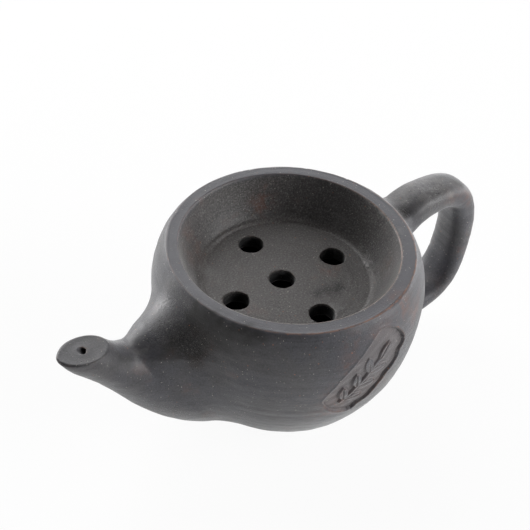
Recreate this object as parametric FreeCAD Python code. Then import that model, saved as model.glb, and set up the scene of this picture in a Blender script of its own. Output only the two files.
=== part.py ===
import FreeCAD, Part
import math
import os

vec = FreeCAD.Vector

# Driving dimensions, in millimetres and degrees.
# The origin is the centre of the foot, +Z is up, the spout points to -X and the handle to +X.

# Vessel, turned about the Z axis
rim_height = 64.0
rim_radius = 39.0
shoulder_reach = 2.5         # the shoulder sets off from the rim this far out
shoulder_drop = 1.7          # and this far down
belly_radius = 43.6
belly_drop = 14.8            # the widest place lies this far below the rim
belly_rise = 4.3             # height of upright wall above it
belly_fall = 31.0            # and below it
foot_radius = 22.0
foot_spread = 7.3            # slope of the wall as it leaves the foot
foot_rise = 10.5
vessel_wall = 4.5
base_thickness = 5.0

# Dish that closes the mouth and carries the flat rim
mouth_radius = 34.8
mouth_shift_x = -0.2         # the mouth sits slightly off the axis
mouth_shift_y = 0.5
dish_depth = 14.5
dish_floor_radius = 25.5
dish_cove = 5.0
dish_slope_drop = 8.5        # depth at which the sloping wall turns into its cove
dish_slope_inset = 2.3
dish_wall = 3.4
dish_floor = 4.5
flange_thickness = 1.5
lip_rounding = 0.5

# Draught holes through the dish
hole_radius = 4.15
hole_rounding = 0.5
hole_circle_radius = 19.1
hole_ring_count = 4
hole_ring_turn = 0.0
hole_shift_x = -0.6
hole_shift_y = 0.5
centre_hole_shift_x = -1.8
centre_hole_shift_y = 0.8

# Spout
spout_root_inset = 21.6      # the root starts this far inside the belly's radius
spout_root_height = 27.3
spout_root_dip = 4.7         # the root sets off slightly downwards
spout_root_lead = 16.0
spout_tip_reach = 34.0       # the tip lies this far outside the belly's radius
spout_tip_drop = 3.6         # and this far below the rim
spout_rise = 48.5            # climb of the spout at its tip
spout_tip_lead = 20.0
spout_root_radius = 18.4
spout_bulb_radius = 22.6
spout_waist_radius = 14.6
spout_neck_radius = 3.0
spout_tip_radius = 5.9
spout_cut_reach = 30.8       # the tip is sliced off through this point
spout_cut_drop = 6.4
spout_cut_tilt = 3.0
tip_rounding = 1.1
spout_wall = 3.6
spout_blend = 17.0           # radius of the hollow where the spout meets the vessel
spout_overrun = 0.05         # the form runs this share of its length past the slice
spout_steps = 9
vent_radius = 1.3
vent_start = 0.72            # share of the spout's length where its hollow ends in the vent

# Handle, a pulled strap in the plane of the spout
# Its control points are placed from the belly's radius, and its upper ones from the rim
handle_root_reach = -10.6
handle_root_drop = 20.0
handle_shoulder_reach = 1.1
handle_shoulder_drop = 6.8
handle_arm_reach = 10.9
handle_arm_drop = 4.2
handle_elbow_reach = 30.4
handle_elbow_drop = 5.7
handle_back_reach = 31.8
handle_back_height = 27.5
handle_heel_reach = 22.9
handle_heel_height = 6.8
handle_end_reach = -23.6
handle_end_height = 16.0
handle_root_width = 16.6
handle_grip_width = 13.2
handle_end_width = 17.0
handle_root_thickness = 12.4
handle_grip_thickness = 10.7
handle_end_thickness = 10.0
handle_squareness = 2.6      # 2 gives an ellipse, more gives a squarer strap
handle_blend = 4.0

# Joints: the toe of each blend belongs to the vessel until it is this thick
toe_thickness = 1.0

# Socket for a pipe's stem, let into the underside
socket_radius = 10.5
socket_length = 24.0
socket_wall = 5.0

# Panel pressed into the side of the vessel
panel_turn = -91.5           # direction that it faces, about the Z axis
panel_height = 44.3
panel_lean = 50.6
panel_length = 34.0
panel_width = 18.6
panel_depth = 1.6
panel_notch = 1.6            # size of each step in the corners
panel_bow = 1.0              # rise of each curved side
relief_drop = 0.6            # the sprig stands this far under the vessel's surface
stalk_width = 1.2
stalk_inset = 4.0
leaf_pairs = 3
leaf_length = 7.2
leaf_width = 3.2
leaf_spacing = 6.2
leaf_lean = 48.0

# Points around a skinned section
section_points = 12


# Helpers

def bezier_value(values, share):
    order = len(values) - 1
    return sum(
        math.comb(order, k) * (1 - share) ** (order - k) * share ** k * value
        for k, value in enumerate(values)
    )


def inset(poles, depth):
    """A control polygon moved to its left by depth, measured square to each leg."""
    legs = []
    for (x0, z0), (x1, z1) in zip(poles, poles[1:]):
        length = math.hypot(x1 - x0, z1 - z0)
        across = depth * (z1 - z0) / length
        along = depth * (x1 - x0) / length
        legs.append((x0 - across, z0 + along, x1 - x0, z1 - z0))
    moved = [legs[0][:2]]
    for (ax, az, adx, adz), (bx, bz, bdx, bdz) in zip(legs, legs[1:]):
        share = ((bx - ax) * bdz - (bz - az) * bdx) / (adx * bdz - adz * bdx)
        moved.append((ax + share * adx, az + share * adz))
    x, z, dx, dz = legs[-1]
    moved.append((x + dx, z + dz))
    return moved


def line(start, end):
    return Part.LineSegment(start, end).toShape()


def arc(start, middle, end):
    return Part.Arc(start, middle, end).toShape()


def turned(edges):
    """Turns the area between the Z axis and a run of edges, drawn upwards in the YZ plane."""
    low = edges[0].valueAt(edges[0].FirstParameter)
    high = edges[-1].valueAt(edges[-1].LastParameter)
    low_centre = vec(0, 0, low.z)
    high_centre = vec(0, 0, high.z)
    closing = [line(high, high_centre), line(high_centre, low_centre)]
    if low.y > 0:
        closing.append(line(low_centre, low))
    face = Part.Face(Part.Wire(edges + closing))
    return face.revolve(vec(0, 0, 0), vec(0, 0, 1), 360)


def upright(radius, low, high, x=0.0, y=0.0):
    return Part.makeCylinder(radius, high - low, vec(x, y, low))


def section(centre, direction, width, thickness, squareness=2.0):
    """Poles of a closed curve round a line in the XZ plane, with its width along Y."""
    across = vec(0, 1, 0)
    up = direction.cross(across)
    outward = 3 / (2 + math.cos(2 * math.pi / section_points))
    power = 2 / squareness
    poles = []
    for step in range(section_points):
        angle = 2 * math.pi * step / section_points
        side = math.copysign(abs(math.cos(angle)) ** power, math.cos(angle))
        rise = math.copysign(abs(math.sin(angle)) ** power, math.sin(angle))
        offset = across * (side * width / 2) + up * (rise * thickness / 2)
        poles.append(centre + offset * outward)
    return poles


def skinned(sections):
    """The solid inside a smooth surface drawn along a row of sections."""
    count = len(sections)
    surface = Part.BSplineSurface()
    surface.buildFromPolesMultsKnots(
        [[row[step] for row in sections] for step in range(section_points)],
        [1] * (section_points + 1),
        [4] + [1] * (count - 4) + [4],
        [float(knot) for knot in range(section_points + 1)],
        [float(knot) for knot in range(count - 2)],
        True, False, 3, 3,
    )
    faces = [surface.toShape()]
    for end in (0.0, count - 3.0):
        faces.append(Part.Face(Part.Wire([surface.vIso(end).toShape()])))
    shell = Part.Shell(faces)
    shell.sewShape()
    solid = Part.Solid(shell)
    if solid.Volume < 0:
        solid.reverse()
    return solid


def shared_edges(joined, first, second):
    """The edges of a joined solid along which its two parts meet."""
    found = []
    for edge in joined.Edges:
        reach = edge.LastParameter - edge.FirstParameter
        samples = [
            Part.Vertex(edge.valueAt(edge.FirstParameter + share * reach))
            for share in (0.1, 0.5, 0.9)
        ]
        if all(
            part.Shells[0].distToShape(sample)[0] < 1e-3
            for part in (first, second) for sample in samples
        ):
            found.append(edge)
    return found


def blended(base, added, radius):
    joined = base.fuse(added)
    return joined.makeFillet(radius, shared_edges(joined, base, added))


def level_circles(solid, radius, height):
    return [
        edge for edge in solid.Edges
        if isinstance(edge.Curve, Part.Circle)
        and abs(edge.Curve.Radius - radius) < 1e-3
        and abs(edge.Curve.Center.z - height) < 1e-3
    ]


# Vessel

def vessel_form(depth=0.0):
    """The solid inside the vessel's outer surface, or inside one that lies depth below it."""
    poles = [
        (foot_radius, 0.0),
        (foot_radius + foot_spread, foot_rise),
        (belly_radius, rim_height - belly_drop - belly_fall),
        (belly_radius, rim_height - belly_drop + belly_rise),
        (rim_radius + shoulder_reach, rim_height - shoulder_drop),
        (rim_radius, rim_height),
    ]
    if depth:
        poles = inset(poles, depth)
    wall = Part.BSplineCurve()
    wall.buildFromPolesMultsKnots(
        [vec(0, radius, height) for radius, height in poles],
        [4, 2, 4], [0.0, belly_fall / (belly_fall + belly_rise), 1.0], False, 3,
    )
    return turned([wall.toShape()])


def chamber():
    above_base = upright(2 * belly_radius, base_thickness, rim_height)
    return vessel_form(vessel_wall).common(above_base)


# Spout

def spout_axis(share):
    dip = math.radians(spout_root_dip)
    rise = math.radians(spout_rise)
    root_x = spout_root_inset - belly_radius
    tip_x = -belly_radius - spout_tip_reach
    tip_height = rim_height - spout_tip_drop
    xs = [
        root_x,
        root_x - spout_root_lead * math.cos(dip),
        tip_x + spout_tip_lead * math.cos(rise),
        tip_x,
    ]
    zs = [
        spout_root_height,
        spout_root_height - spout_root_lead * math.sin(dip),
        tip_height - spout_tip_lead * math.sin(rise),
        tip_height,
    ]
    here = vec(bezier_value(xs, share), 0, bezier_value(zs, share))
    ahead = vec(bezier_value(xs, share + 1e-4), 0, bezier_value(zs, share + 1e-4))
    return here, (ahead - here).normalize()


def spout_radius(share):
    return bezier_value([
        spout_root_radius,
        spout_bulb_radius,
        spout_waist_radius,
        spout_neck_radius,
        spout_tip_radius,
    ], share)


def spout_form():
    sections = []
    for step in range(spout_steps + 1):
        share = (1 + spout_overrun) * step / spout_steps
        centre, direction = spout_axis(share)
        diameter = 2 * spout_radius(share)
        sections.append(section(centre, direction, diameter, diameter))
    return skinned(sections)


def spout_hollow():
    """The spout's hollow, which narrows to the vent in its tip."""
    sections = []
    for step in range(spout_steps + 1):
        share = vent_start * step / spout_steps
        narrowing = (step / spout_steps) ** 4
        open_radius = spout_radius(share) - spout_wall
        diameter = 2 * (open_radius + (vent_radius - open_radius) * narrowing)
        centre, direction = spout_axis(share)
        sections.append(section(centre, direction, diameter, diameter))
    start, direction = spout_axis(vent_start)
    start -= direction * vent_radius
    tip, direction = spout_axis(1.0)
    vent_length = (tip - start).Length + spout_tip_radius
    vent = Part.makeCylinder(vent_radius, vent_length, start, tip - start)
    return skinned(sections).fuse(vent)


def spout_cut_point():
    return vec(-belly_radius - spout_cut_reach, 0, rim_height - spout_cut_drop)


def tip_edges(solid):
    """The edges round the slice at the spout's tip."""
    square_to_cut = FreeCAD.Rotation(vec(0, 1, 0), spout_cut_tilt).multVec(vec(0, 0, 1))
    on_cut = spout_cut_point()
    found = []
    for edge in solid.Edges:
        reach = edge.LastParameter - edge.FirstParameter
        points = [edge.valueAt(edge.FirstParameter + share * reach) for share in (0.1, 0.5, 0.9)]
        if all(abs((point - on_cut).dot(square_to_cut)) < 1e-4 for point in points):
            found.append(edge)
    return found


def above_spout_cut():
    reach = 3 * spout_tip_radius
    block = Part.makeBox(2 * reach, 2 * reach, reach, vec(-reach, -reach, 0))
    block.rotate(vec(0, 0, 0), vec(0, 1, 0), spout_cut_tilt)
    block.translate(spout_cut_point())
    return block


# Handle

def handle_form():
    poles = [
        (belly_radius + handle_root_reach, rim_height - handle_root_drop),
        (belly_radius + handle_shoulder_reach, rim_height - handle_shoulder_drop),
        (belly_radius + handle_arm_reach, rim_height - handle_arm_drop),
        (belly_radius + handle_elbow_reach, rim_height - handle_elbow_drop),
        (belly_radius + handle_back_reach, handle_back_height),
        (belly_radius + handle_heel_reach, handle_heel_height),
        (belly_radius + handle_end_reach, handle_end_height),
    ]
    middle = Part.BSplineCurve()
    middle.buildFromPoles([vec(x, 0, z) for x, z in poles], False, 3)
    length = middle.LastParameter - middle.FirstParameter
    widths = [
        handle_root_width,
        2 * handle_grip_width - (handle_root_width + handle_end_width) / 2,
        handle_end_width,
    ]
    thicknesses = [
        handle_root_thickness,
        2 * handle_grip_thickness - (handle_root_thickness + handle_end_thickness) / 2,
        handle_end_thickness,
    ]
    spans = len(poles) - 3
    knots = [0] * 4 + list(range(1, spans)) + [spans] * 4
    sections = []
    for number, (x, z) in enumerate(poles):
        share = sum(knots[number + 1:number + 4]) / 3 / spans
        direction = middle.tangent(middle.FirstParameter + share * length)[0]
        width = bezier_value(widths, share)
        thickness = bezier_value(thicknesses, share)
        sections.append(section(vec(x, 0, z), direction, width, thickness, handle_squareness))
    return skinned(sections)


# Dish

def dish_poles():
    floor_height = rim_height - dish_depth
    return [
        (dish_floor_radius, floor_height),
        (dish_floor_radius + dish_cove, floor_height),
        (mouth_radius - dish_slope_inset, rim_height - dish_slope_drop),
        (mouth_radius, rim_height),
    ]


def dish_underside_poles():
    poles = inset(dish_poles(), -dish_wall)
    underside_height = rim_height - dish_depth - dish_floor
    return [(radius, underside_height) for radius, height in poles[:2]] + poles[2:]


def bowl_form(poles):
    cove = Part.BezierCurve()
    cove.setPoles([vec(0, radius, height) for radius, height in poles])
    form = turned([cove.toShape()])
    form.rotate(vec(0, 0, 0), vec(0, 0, 1), 180)
    form.translate(vec(mouth_shift_x, mouth_shift_y, 0))
    return form


def above_flange():
    return upright(2 * belly_radius, rim_height - flange_thickness, rim_height + handle_grip_thickness)


def dish_form():
    """The rim's flange, and the bowl that hangs from it."""
    return vessel_form().common(above_flange()).fuse(bowl_form(dish_underside_poles()))


def draught_holes():
    low = rim_height - dish_depth - 2 * dish_floor
    holes = [upright(hole_radius, low, rim_height, centre_hole_shift_x, centre_hole_shift_y)]
    for number in range(hole_ring_count):
        angle = math.radians(hole_ring_turn + 360 * number / hole_ring_count)
        x = hole_shift_x + hole_circle_radius * math.cos(angle)
        y = hole_shift_y + hole_circle_radius * math.sin(angle)
        holes.append(upright(hole_radius, low, rim_height, x, y))
    return holes


def make_dish():
    solid = dish_form().cut(bowl_form(dish_poles()))
    for hole in draught_holes():
        solid = solid.cut(hole)
    hole_edges = level_circles(solid, hole_radius, rim_height - dish_depth)
    solid = solid.makeFillet(hole_rounding, hole_edges)
    return solid.makeFillet(lip_rounding, level_circles(solid, mouth_radius, rim_height))


# Socket

def socket_form():
    return upright(socket_radius + socket_wall, 0, socket_length)


def make_socket():
    return socket_form().cut(upright(socket_radius, 0, socket_length))


# Panel

def panel_face():
    """A long panel with bowed sides and stepped corners, centred on the origin."""
    end = panel_length / 2
    side = panel_width / 2
    step = panel_notch
    corner = [
        (end - panel_bow, side - panel_bow - 2 * step),
        (end - panel_bow - step, side - panel_bow - 2 * step),
        (end - panel_bow - step, side - panel_bow - step),
        (end - panel_bow - 2 * step, side - panel_bow - step),
        (end - panel_bow - 2 * step, side - panel_bow),
    ]
    quarters = [
        [vec(x, y, 0) for x, y in corner],
        [vec(-x, y, 0) for x, y in reversed(corner)],
        [vec(-x, -y, 0) for x, y in corner],
        [vec(x, -y, 0) for x, y in reversed(corner)],
    ]
    middles = [vec(0, side, 0), vec(-end, 0, 0), vec(0, -side, 0), vec(end, 0, 0)]
    edges = []
    for number, points in enumerate(quarters):
        edges += [line(start, stop) for start, stop in zip(points, points[1:])]
        following = quarters[(number + 1) % 4][0]
        edges.append(arc(points[-1], middles[number], following))
    return Part.Face(Part.Wire(edges))


def leaf_face(x, turn):
    tip = vec(leaf_length, 0, 0)
    upper = vec(leaf_length / 2, leaf_width / 2, 0)
    lower = vec(leaf_length / 2, -leaf_width / 2, 0)
    face = Part.Face(Part.Wire([arc(vec(0, 0, 0), upper, tip), arc(tip, lower, vec(0, 0, 0))]))
    face.rotate(vec(0, 0, 0), vec(0, 0, 1), turn)
    face.translate(vec(x, 0, 0))
    return face


def sprig_faces():
    start = stalk_inset - panel_length / 2
    stalk_length = leaf_pairs * leaf_spacing + stalk_width
    stalk = Part.makePlane(stalk_length, stalk_width, vec(start, -stalk_width / 2, 0))
    faces = [stalk, leaf_face(start + stalk_length - stalk_width, 0)]
    for number in range(leaf_pairs):
        x = start + stalk_width + number * leaf_spacing
        faces += [leaf_face(x, leaf_lean), leaf_face(x, -leaf_lean)]
    return faces


def on_side(face):
    """Draws a face out through the side of the vessel, where the panel lies."""
    prism = face.extrude(vec(0, 0, 2 * belly_radius))
    prism.rotate(vec(0, 0, 0), vec(0, 0, 1), panel_lean)
    prism.rotate(vec(0, 0, 0), vec(1, 0, 0), 90)
    prism.rotate(vec(0, 0, 0), vec(0, 0, 1), panel_turn + 90)
    prism.translate(vec(0, 0, panel_height))
    return prism


def panel_recess():
    panel = on_side(panel_face())
    ground = panel
    for face in sprig_faces():
        ground = ground.cut(on_side(face))
    return panel.cut(vessel_form(relief_drop)).fuse(ground.cut(vessel_form(panel_depth)))


# Assembly

def write(name, shape):
    if len(shape.Solids) != 1:
        raise ValueError(name + " has " + str(len(shape.Solids)) + " solids")
    solid = shape.Solids[0]
    solid.exportStep("parts/" + name + ".step")
    print(name, solid.isValid(), round(solid.Volume), solid.BoundBox)


def main():
    os.makedirs("parts", exist_ok=True)
    outside = blended(vessel_form(), spout_form(), spout_blend)
    outside = blended(outside, handle_form(), handle_blend)
    outside = outside.cut(above_spout_cut())
    outside = outside.makeFillet(tip_rounding, tip_edges(outside))
    print("outside", outside.isValid(), round(outside.Volume), outside.BoundBox)

    with_toes = vessel_form(-toe_thickness)
    limbs = outside.cut(with_toes).Solids
    spout = min(limbs, key=lambda limb: limb.CenterOfMass.x)
    handle = max(limbs, key=lambda limb: limb.CenterOfMass.x)

    shell = outside.common(with_toes)
    shell = shell.cut(chamber())
    shell = shell.cut(above_flange())
    shell = shell.cut(bowl_form(dish_underside_poles()))
    shell = shell.cut(socket_form())
    shell = shell.cut(panel_recess())

    write("body_shell", shell)
    write("dish", make_dish())
    write("spout", spout.cut(spout_hollow()))
    write("handle", handle)
    write("stem_socket", make_socket())


main()
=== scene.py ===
import math
from functools import partial

import bpy
import numpy as np
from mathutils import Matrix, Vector


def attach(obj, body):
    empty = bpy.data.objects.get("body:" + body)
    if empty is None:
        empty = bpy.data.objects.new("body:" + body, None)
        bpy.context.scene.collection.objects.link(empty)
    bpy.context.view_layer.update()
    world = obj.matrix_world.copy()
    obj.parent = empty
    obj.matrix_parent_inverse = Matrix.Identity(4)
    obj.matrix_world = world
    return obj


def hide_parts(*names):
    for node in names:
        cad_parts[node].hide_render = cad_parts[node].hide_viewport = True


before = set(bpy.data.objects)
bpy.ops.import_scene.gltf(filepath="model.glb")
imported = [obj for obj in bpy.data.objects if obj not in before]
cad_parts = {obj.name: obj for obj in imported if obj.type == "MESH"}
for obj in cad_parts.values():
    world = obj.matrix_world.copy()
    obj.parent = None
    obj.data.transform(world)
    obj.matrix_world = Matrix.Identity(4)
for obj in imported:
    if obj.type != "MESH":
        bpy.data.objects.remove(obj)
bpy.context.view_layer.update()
print("frame loaded")

# The forms are worked out in millimetres and written to meshes in metres.
# X runs from the spout (-) to the handle (+), Z is up, the pressed panel faces -Y.
mm = 0.001
fullTurn = 2 * math.pi


def hexColour(code):
    channels = [int(code[i:i + 2], 16) / 255 for i in (0, 2, 4)]
    return [c / 12.92 if c <= 0.04045 else ((c + 0.055) / 1.055) ** 2.4 for c in channels] + [1.0]


def addNode(tree, kind, inputs=(), operation=None, **settings):
    # the inputs come in the order of the sockets, or in a dictionary by name or number
    node = tree.nodes.new(kind if "Node" in kind else "ShaderNode" + kind)
    if operation:
        node.operation = operation
    for name, value in settings.items():
        setattr(node, name, value)
    for socket, value in inputs.items() if isinstance(inputs, dict) else enumerate(inputs):
        if isinstance(value, bpy.types.Node):
            value = value.outputs[0]
        if isinstance(value, bpy.types.NodeSocket):
            tree.links.new(value, node.inputs[socket])
        else:
            node.inputs[socket].default_value = value
    return node


def emptyTree(owner):
    owner.use_nodes = True
    owner.node_tree.nodes.clear()
    return owner.node_tree


def placeObject(name, data):
    made = bpy.data.objects.new(name, data)
    bpy.context.scene.collection.objects.link(made)
    return made


def readAll(items, name, kind=float, width=3):
    values = np.zeros(len(items) * width, kind)
    items.foreach_get(name, values)
    return values.reshape(-1, width)


def keepMask(mesh, name, values):
    layer = mesh.attributes.new(name, "FLOAT", "POINT")
    layer.data.foreach_set("value", values.reshape(-1).astype(np.float32))


# Camera

camera = {
    "place": (-0.18930, -0.22157, 0.32038),
    "turn": (47.504, -3.469, -35.827),
    "lens": 84.84,
}

eye = bpy.data.cameras.new("camera")
eye.lens = camera["lens"]
eye.sensor_width = 36
eye.clip_start = 0.01
eyeObject = placeObject("camera", eye)
eyeObject.location = camera["place"]
eyeObject.rotation_euler = [math.radians(a) for a in camera["turn"]]
bpy.context.scene.camera = eyeObject
print("camera set")

# Forms of the thrown wall, the spout and the handle

vessel = {
    "lowerWall": ((22.0, 0.0), (29.3, 10.5), (43.6, 18.2), (43.6, 49.2)),
    "upperWall": ((43.6, 49.2), (43.6, 53.5), (41.5, 62.3), (39.0, 64.0)),
    "rimHeight": 64.0,
    "foot": ((22.05, 0.45), (21.8, 0.13), (21.3, 0.0), (20.6, 0.0), (18.5, 0.05), (16.2, 0.05)),
    "innerTop": ((38.2, 61.0), (38.6, 62.4), (39.4, 62.7)),  # the wall's top under the flange
    "chamber": (6.0, 59.5, 24),  # lowest and highest row inside, and their number
    "wall": 4.5,
    "base": 5.0,
    "baseRadius": 18.5,
    "collarRadius": 15.5,
    "skinHeights": (1.0, 63.1),
    "flangeHeight": 62.5,
    "flangeDive": 0.16,  # past the flange wall and dish dip under each other at this slope
    "frontReach": -42.97,  # the marks on the clay stay within this Y
    "columnSpacing": 1.3,
    "rowSpacing": 0.9,
}

spout = {
    "poles": ((-22.0, 27.3), (-53.0, 29.51), (-65.5, 52.18), (-78.6, 59.12)),
    "knots": (0, 0, 0, 0, 1, 1, 1, 1),
    "startsAt": -8.0,  # the spout is joined to the wall from this X on
    "radii": (18.4, 23.17, 0.75, 9.85, 4.65),
    "blend": (17.0, 18.5, 16.2),  # hollow radius under, beside and at the top of the root
    "blendHeights": (34.0, 50.0, 61.3),
    "neckReach": (-65.0, -51.0),  # on top the hollow tightens between these places
    "neckHeights": (40.0, 49.0),  # and these heights
    "neckShare": 0.42,  # down to this share
    "neckDent": (0.68, 0.12, 1.3),  # place on the line, reach and depth of a pinch on the neck's top
    "fan": ((-33.0, 26.5), 48, 125.0),  # centre, rings and widest turn of the rays that find the root
    "skinReach": (6.0, 3.0),  # the skin's own shading fades out between these gaps to the wall
    "firstRing": (0.35, 0.61),  # share of the line where the free rings start, below and above
    "rings": (76, 0.92),  # number and easing of the free rings
    "cutShare": 0.96,  # place on the line near the slice
    "cutPoint": (-74.4, 58.22),
    "cutTilt": 3.2,
    "cutDish": 0.10,  # the slice is a little hollow
    "edgeRounding": 0.7,
    "ventPlace": -74.6,
    "ventRadius": 1.3,
    "ventWay": (0.727, 0, -0.687),
    "ventSteps": (  # share of the radius, depth
        (1.06, 0.12), (1.0, 0.4), (0.98, 1.0), (0.95, 2.0), (0.9, 4.0), (0.8, 7.0),
    ),
    "columns": 220,
}

handle = {
    "poles": (
        (33.0, 44.0), (44.7, 57.2), (54.5, 59.8), (74.0, 58.3), (75.4, 27.5), (66.5, 6.8), (20.0, 16.0),
    ),
    "knots": (0, 0, 0, 0, 1, 2, 3, 4, 4, 4, 4),
    "startsAt": 18.0,
    "widths": (16.6, 10.0, 17.0),
    "thicknesses": (12.0, 11.1, 10.5, 9.8, 9.3, 9.3, 9.4, 9.35, 9.0, 8.2, 7.6, 8.35, 9.5, 10.2),
    "thicknessAt": (0.0, 0.55, 0.85, 1.15, 1.45, 1.75, 2.05, 2.35, 2.65, 2.95, 3.25, 3.55, 3.8, 4.0),
    "squareness": 2.6,
    "blend": 4.0,
    "upperFan": ((38.6, 52.4), 26, 118.0),
    "lowerFan": ((32.0, 12.6), 26, 118.0),
    "skinReach": (5.0, 2.5),
    "rings": (0.62, 3.82),  # places on the line where the free rings start and end
    "ringSpacing": 0.45,
    "columns": 128,
}

jointHeight = 0.9  # limb and wall change places where the blend stands this far off the wall
jointDive = 0.07  # and each dips under the other at this slope
jointStop = 0.25  # the limb's skin ends where the blend is this thin


def bezier(values, share):
    order = len(values) - 1
    return sum(
        math.comb(order, k) * (1 - share) ** (order - k) * share ** k * v for k, v in enumerate(values)
    )


def bezierLine(points, count):
    share = np.linspace(0, 1, count)
    return np.stack([bezier(values, share) for values in zip(*points)], 1)


def smoothStep(low, high, value):
    share = np.clip((value - low) / (high - low), 0, 1)
    return share * share * (3 - 2 * share)


def bump(value, middle, reach):
    return np.exp(-((value - middle) / reach) ** 2)


def unit(ways):
    return ways / np.linalg.norm(ways, axis=-1, keepdims=True)


def turnOff(angle, middle):  # the way round from the middle, within half a turn
    return np.angle(np.exp(1j * (angle - middle)))


lowerWall, upperWall = (bezierLine(vessel[part], 1500) for part in ("lowerWall", "upperWall"))
wallRadii, wallHeights = np.concatenate([lowerWall, upperWall[1:]]).T
wallSlopes = np.gradient(wallRadii, wallHeights)


def wallAt(height):  # the radius, and the outward and upward shares of the normal
    slope = np.interp(height, wallHeights, wallSlopes)
    beyond = height - np.clip(height, wallHeights[0], wallHeights[-1])
    length = np.sqrt(1 + slope * slope)
    return np.interp(height, wallHeights, wallRadii) + beyond * slope, 1 / length, -slope / length


def vesselForm(p):  # distance off the wall and the way it faces
    radius, outward, upward = wallAt(p[:, 2])
    out = np.hypot(p[:, 0], p[:, 1])
    way = np.c_[p[:, :2] / np.maximum(out, 1e-6)[:, None] * outward[:, None], upward]
    return (out - radius) * outward, way


def vesselGap(rows):
    return vesselForm(rows.reshape(-1, 3))[0].reshape(rows.shape[:-1])


def splineValue(poles, knots, u):  # de Boor's rule for one place on a cubic
    span = int(np.clip(np.searchsorted(knots, u, side="right") - 1, 3, len(poles) - 1))
    level = [np.array(poles[span - 3 + j], float) for j in range(4)]
    for step in (1, 2, 3):
        for j in range(3, step - 1, -1):
            low, high = knots[span - 3 + j], knots[span + 1 + j - step]
            share = (u - low) / (high - low)
            level[j] = (1 - share) * level[j - 1] + share * level[j]
    return level[3]


class LimbLine:  # the middle line of the spout or the handle, in the XZ plane
    def __init__(self, poles, knots):
        self.end = knots[-1]
        tries = np.array([0.1, 0.4, 0.6, 0.9])
        self.cubics = np.array([
            np.polyfit(tries, [splineValue(poles, knots, span + t) for t in tries], 3)
            for span in range(self.end)
        ])
        self.shares = np.linspace(0, self.end, 40)
        self.samples = self.at(self.shares)[0]

    def at(self, u):  # place, slope and bend
        span = np.clip(np.floor(u).astype(int), 0, self.end - 1)
        a, b, c, d = np.moveaxis(self.cubics[span], -2, 0)
        t = (u - span)[..., None]
        return ((a * t + b) * t + c) * t + d, (3 * a * t + 2 * b) * t + c, 6 * a * t + 2 * b

    def nearest(self, p):
        target = p[:, (0, 2)]
        away = (target[:, None] - self.samples) ** 2
        u = self.shares[away.sum(-1).argmin(1)]
        for _ in range(4):
            place, slope, bend = self.at(u)
            offset = place - target
            speed = (slope ** 2).sum(1)
            rate = speed + (offset * bend).sum(1)
            step = (offset * slope).sum(1) / np.where(rate > 0.2 * speed, rate, speed)
            u = np.clip(u - step, -0.15 * self.end, 1.1 * self.end)
        return u

    def frameAt(self, u):  # place, direction and the side that faces up, all 3-D
        place, slope, _ = self.at(u)
        slope, zero = unit(slope), 0 * u
        return (
            np.stack([place[..., 0], zero, place[..., 1]], -1),
            np.stack([slope[..., 0], zero, slope[..., 1]], -1),
            np.stack([-slope[..., 1], zero, slope[..., 0]], -1),
        )


spoutLine = LimbLine(spout["poles"], spout["knots"])
handleLine = LimbLine(handle["poles"], handle["knots"])


def spoutRadius(u, angle=0):
    return bezier(spout["radii"], u)


def spoutForm(p):
    u = spoutLine.nearest(p)
    place, along, up = spoutLine.frameAt(u)
    away = p - place
    length = np.maximum(np.linalg.norm(away, axis=1), 1e-6)
    ahead, behind = u + 0.01, u - 0.01
    travelled = np.linalg.norm(spoutLine.at(ahead)[0] - spoutLine.at(behind)[0], axis=1)
    taper = (spoutRadius(ahead) - spoutRadius(behind)) / travelled
    way = away / length[:, None] - taper[:, None] * along
    stretch = np.sqrt(1 + taper * taper)
    dentPlace, dentReach, dentDepth = spout["neckDent"]
    onTop = np.clip(0.3 - (away * up).sum(1) / length, 0, 1.3) / 1.3
    dent = dentDepth * onTop * bump(u, dentPlace, dentReach)
    return (length + dent - spoutRadius(u)) / stretch, way / stretch[:, None]


strapThickness = np.polyfit(handle["thicknessAt"], handle["thicknesses"], 7)


def strapReach(u, across, up):  # how far the strap's surface is from its middle, that way
    width = bezier(handle["widths"], u / handleLine.end) / 2
    thickness = np.polyval(strapThickness, np.clip(u, 0, handleLine.end)) / 2
    power = handle["squareness"]
    length = np.hypot(across, up) + 1e-9
    around = np.abs(across / length / width) ** power + np.abs(up / length / thickness) ** power
    return around ** (-1 / power)


def handleForm(p):
    u = handleLine.nearest(p)
    place, _, out = handleLine.frameAt(u)
    away = p - place
    up = (away * out).sum(1)
    length = np.hypot(p[:, 1], up)
    return length - strapReach(u, p[:, 1], up), away / np.maximum(length, 1e-6)[:, None]


def joined(wall, limb, ball):
    # two forms run together as if a ball of this radius had been rolled along the corner
    (a, wayA), (b, wayB) = wall, limb
    facing = np.clip((wayA * wayB).sum(1), -0.8, 1)
    half = np.sqrt((1 + facing) / 2)  # sine of half the angle of the corner
    radius = np.maximum(ball * (1 - facing), 0.01)
    power = -1 / np.log2(1 - 0.5 / (1 + half))
    inA, inB = np.maximum(radius - a, 0), np.maximum(radius - b, 0)
    return np.maximum(radius, np.minimum(a, b)) - (inA ** power + inB ** power) ** (1 / power)


def clayGap(p):
    gap, way = vesselForm(p)
    left = p[:, 0] < spout["startsAt"]
    right = p[:, 0] > handle["startsAt"]
    ball = np.interp(p[left, 2], spout["blendHeights"], spout["blend"])
    tighter = (1 - spout["neckShare"]) * (1 - smoothStep(*spout["neckReach"], p[left, 0]))
    ball *= 1 - tighter * smoothStep(*spout["neckHeights"], p[left, 2])
    gap[left] = joined((gap[left], way[left]), spoutForm(p[left]), ball)
    gap[right] = joined((gap[right], way[right]), handleForm(p[right]), handle["blend"])
    return gap


# Marks left by throwing and smoothing: waves in the clay with their directions, lengths and depths

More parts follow.
